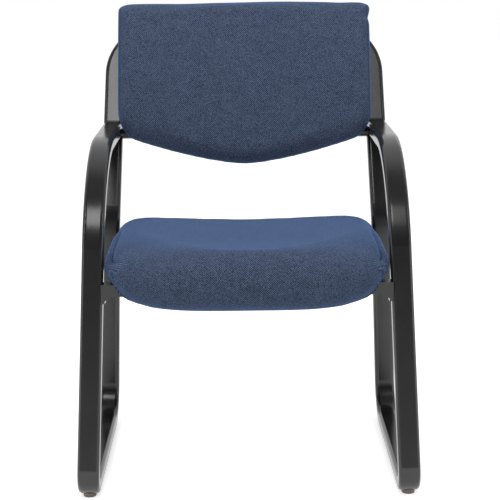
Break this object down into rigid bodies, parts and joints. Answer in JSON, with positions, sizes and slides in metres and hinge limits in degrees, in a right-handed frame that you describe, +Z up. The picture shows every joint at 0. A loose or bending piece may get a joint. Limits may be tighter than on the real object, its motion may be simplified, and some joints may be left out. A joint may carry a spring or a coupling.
{
  "type": "sled base visitor chair",
  "caption": "Sled base visitor chair with looped tubular side frames that form arms, sled rails and back hoop, with an upholstered waterfall seat and a curved backrest.",
  "frame": {"origin": "on the floor, under the middle of the chair's overall box", "axes": "+Z up, the sitter looks along -Y, +X is to the right of someone facing the chair's front"},
  "size_m": [0.622, 0.64, 0.866],
  "materials": {
    "frame_powder_coat": "semi-gloss",
    "glide_nylon": "matt",
    "cover_fabric": "woven",
    "dust_fabric": "non-woven",
    "foam": "open cell foam",
    "plywood": "unfinished plywood",
    "zinc_steel": "zinc plated"
  },
  "bodies": {
    "root": {"right_side_frame": "frame_powder_coat", "left_side_frame": "frame_powder_coat", "hoop_rail": "frame_powder_coat", "lower_back_crossbar": "frame_powder_coat", "front_seat_support": "frame_powder_coat", "rear_seat_support": "frame_powder_coat", "back_strap_right": "frame_powder_coat", "back_strap_left": "frame_powder_coat", "glide_front_right": "glide_nylon", "glide_front_left": "glide_nylon", "glide_rear_right": "glide_nylon", "glide_rear_left": "glide_nylon", "seat_cover": "cover_fabric", "backrest_cover": "cover_fabric", "seat_foam": "foam", "backrest_foam": "foam", "seat_board": "plywood", "backrest_insert": "plywood", "seat_dust_cover": "dust_fabric", "seat_tee_nuts": "zinc_steel", "seat_bolts": "zinc_steel", "seat_washers": "zinc_steel", "back_tee_nuts": "zinc_steel", "back_bolts": "zinc_steel", "back_washers": "zinc_steel", "back_spacers": "zinc_steel"}
  },
  "joints": []
}
